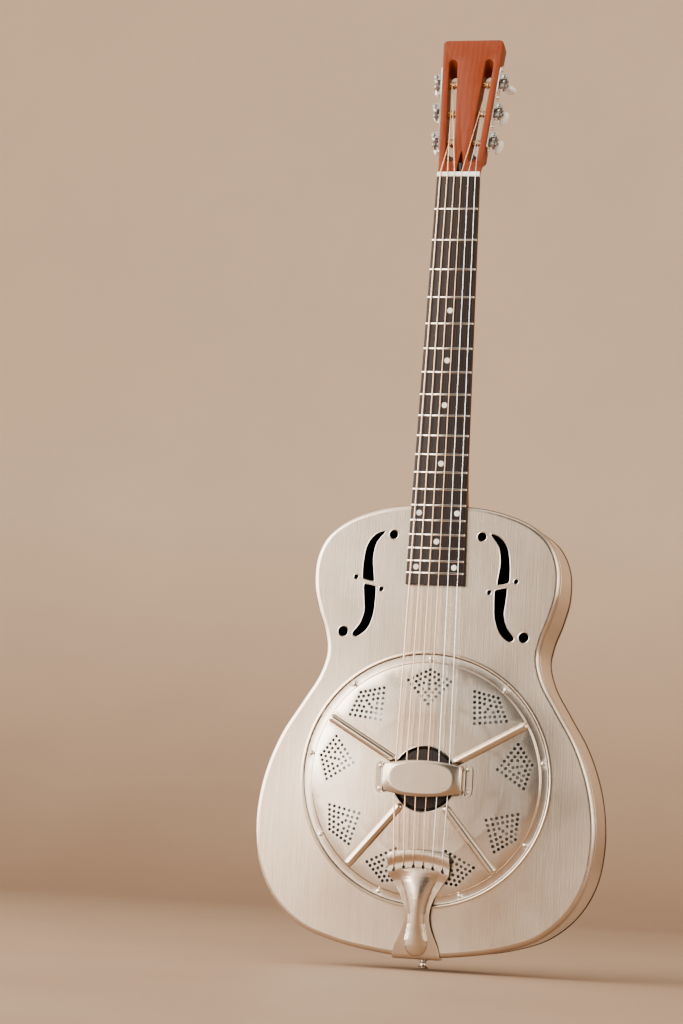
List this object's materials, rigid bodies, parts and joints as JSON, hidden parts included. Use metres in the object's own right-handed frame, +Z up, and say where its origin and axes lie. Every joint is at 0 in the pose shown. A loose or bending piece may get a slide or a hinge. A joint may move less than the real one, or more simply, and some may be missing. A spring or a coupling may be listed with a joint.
{
  "type": "resonator guitar",
  "caption": "Metal-bodied resonator guitar: hollow shell, cone under a vented round coverplate, slotted headstock with worm-geared tuners",
  "frame": {"origin": "middle of the body's bottom edge, 39 mm behind the top plate, where the lower end meets a stand", "axes": "+Z up the neck to the headstock, -Y out of the strings' side, +X to the treble side"},
  "size_m": [0.3632, 0.109, 1.0098],
  "materials": {
    "nickel_steel": "nickel plate, vertically brushed",
    "polished_nickel": "polished nickel plate",
    "spun_aluminium": "spun, bare",
    "mahogany": "satin varnish, reddish brown",
    "maple": "bare, planed",
    "ebony": "oiled, nearly black",
    "bone": "polished off-white bone",
    "ivoroid": "cream, polished",
    "brass": "turned, slightly dulled",
    "dark_steel": "dark, oiled",
    "bronze_wound": "wound bronze",
    "plain_steel": "bright drawn wire"
  },
  "bodies": {
    "guitar": {"back_post": "maple", "biscuit": "ebony", "biscuit_screw": "dark_steel", "body_back": "nickel_steel", "body_rim": "nickel_steel", "body_top": "nickel_steel", "cone": "spun_aluminium", "coverplate": "nickel_steel", "coverplate_screw_1": "polished_nickel", "coverplate_screw_2": "polished_nickel", "coverplate_screw_3": "polished_nickel", "coverplate_screw_4": "polished_nickel", "coverplate_screw_5": "polished_nickel", "coverplate_screw_6": "polished_nickel", "coverplate_screw_7": "polished_nickel", "coverplate_screw_8": "polished_nickel", "coverplate_screw_9": "polished_nickel", "fingerboard": "ebony", "handrest": "polished_nickel", "handrest_screw_1": "polished_nickel", "handrest_screw_2": "polished_nickel", "handrest_screw_3": "polished_nickel", "handrest_screw_4": "polished_nickel", "neck": "mahogany", "neck_stick": "maple", "nut": "bone", "saddle": "maple", "soundwell": "nickel_steel", "stick_wedge_lower": "maple", "stick_wedge_upper": "maple", "strap_button": "polished_nickel", "string_1": "bronze_wound", "string_2": "bronze_wound", "string_3": "bronze_wound", "string_4": "bronze_wound", "string_5": "plain_steel", "string_6": "plain_steel", "tailpiece": "nickel_steel", "truss_rod": "dark_steel", "tuner_plate_bass": "polished_nickel", "tuner_plate_treble": "polished_nickel"},
    "tuner_1_worm": {"worm_1": "dark_steel", "button_1": "ivoroid"},
    "tuner_1_roller": {"roller_1": "brass"},
    "tuner_2_worm": {"worm_2": "dark_steel", "button_2": "ivoroid"},
    "tuner_2_roller": {"roller_2": "brass"},
    "tuner_3_worm": {"worm_3": "dark_steel", "button_3": "ivoroid"},
    "tuner_3_roller": {"roller_3": "brass"},
    "tuner_4_worm": {"worm_4": "dark_steel", "button_4": "ivoroid"},
    "tuner_4_roller": {"roller_4": "brass"},
    "tuner_5_worm": {"worm_5": "dark_steel", "button_5": "ivoroid"},
    "tuner_5_roller": {"roller_5": "brass"},
    "tuner_6_worm": {"worm_6": "dark_steel", "button_6": "ivoroid"},
    "tuner_6_roller": {"roller_6": "brass"},
    "truss_nut": {"truss_nut": "dark_steel"}
  },
  "joints": [
    {"name": "tuner_1_worm_turn", "type": "hinge", "parent": "guitar", "child": "tuner_1_worm", "pos_m": [-0.03309, -0.00922, 0.88252], "axis": [0, 0.9703, -0.2419], "continuous": true},
    {"name": "tuner_1_roller_turn", "type": "hinge", "parent": "guitar", "child": "tuner_1_roller", "pos_m": [-0.02626, -0.0112, 0.87457], "axis": [-0.9981, -0.0151, -0.0605], "continuous": true},
    {"name": "tuner_2_worm_turn", "type": "hinge", "parent": "guitar", "child": "tuner_2_worm", "pos_m": [-0.03533, -0.00055, 0.91729], "axis": [0, 0.9703, -0.2419], "continuous": true},
    {"name": "tuner_2_roller_turn", "type": "hinge", "parent": "guitar", "child": "tuner_2_roller", "pos_m": [-0.0285, -0.00253, 0.90934], "axis": [-0.9981, -0.0151, -0.0605], "continuous": true},
    {"name": "tuner_3_worm_turn", "type": "hinge", "parent": "guitar", "child": "tuner_3_worm", "pos_m": [-0.03759, 0.00819, 0.95234], "axis": [0, 0.9703, -0.2419], "continuous": true},
    {"name": "tuner_3_roller_turn", "type": "hinge", "parent": "guitar", "child": "tuner_3_roller", "pos_m": [-0.03076, 0.00621, 0.9444], "axis": [-0.9981, -0.0151, -0.0605], "continuous": true},
    {"name": "tuner_4_worm_turn", "type": "hinge", "parent": "guitar", "child": "tuner_4_worm", "pos_m": [0.03309, -0.00922, 0.88252], "axis": [0, -0.9703, 0.2419], "continuous": true},
    {"name": "tuner_4_roller_turn", "type": "hinge", "parent": "guitar", "child": "tuner_4_roller", "pos_m": [0.02626, -0.0112, 0.87457], "axis": [0.9981, -0.0151, -0.0605], "continuous": true},
    {"name": "tuner_5_worm_turn", "type": "hinge", "parent": "guitar", "child": "tuner_5_worm", "pos_m": [0.03533, -0.00055, 0.91729], "axis": [0, -0.9703, 0.2419], "continuous": true},
    {"name": "tuner_5_roller_turn", "type": "hinge", "parent": "guitar", "child": "tuner_5_roller", "pos_m": [0.0285, -0.00253, 0.90934], "axis": [0.9981, -0.0151, -0.0605], "continuous": true},
    {"name": "tuner_6_worm_turn", "type": "hinge", "parent": "guitar", "child": "tuner_6_worm", "pos_m": [0.03759, 0.00819, 0.95234], "axis": [0, -0.9703, 0.2419], "continuous": true},
    {"name": "tuner_6_roller_turn", "type": "hinge", "parent": "guitar", "child": "tuner_6_roller", "pos_m": [0.03076, 0.00621, 0.9444], "axis": [0.9981, -0.0151, -0.0605], "continuous": true},
    {"name": "truss_nut_turn", "type": "hinge", "parent": "guitar", "child": "truss_nut", "pos_m": [0, -0.0244, 0.841], "axis": [0, 0.0262, 0.9997], "range_deg": [-180, 180]}
  ],
  "couplings": [
    {"joint": "tuner_1_roller_turn", "follows": "tuner_1_worm_turn", "ratio": -0.071429},
    {"joint": "tuner_2_roller_turn", "follows": "tuner_2_worm_turn", "ratio": -0.071429},
    {"joint": "tuner_3_roller_turn", "follows": "tuner_3_worm_turn", "ratio": -0.071429},
    {"joint": "tuner_4_roller_turn", "follows": "tuner_4_worm_turn", "ratio": -0.071429},
    {"joint": "tuner_5_roller_turn", "follows": "tuner_5_worm_turn", "ratio": -0.071429},
    {"joint": "tuner_6_roller_turn", "follows": "tuner_6_worm_turn", "ratio": -0.071429}
  ]
}
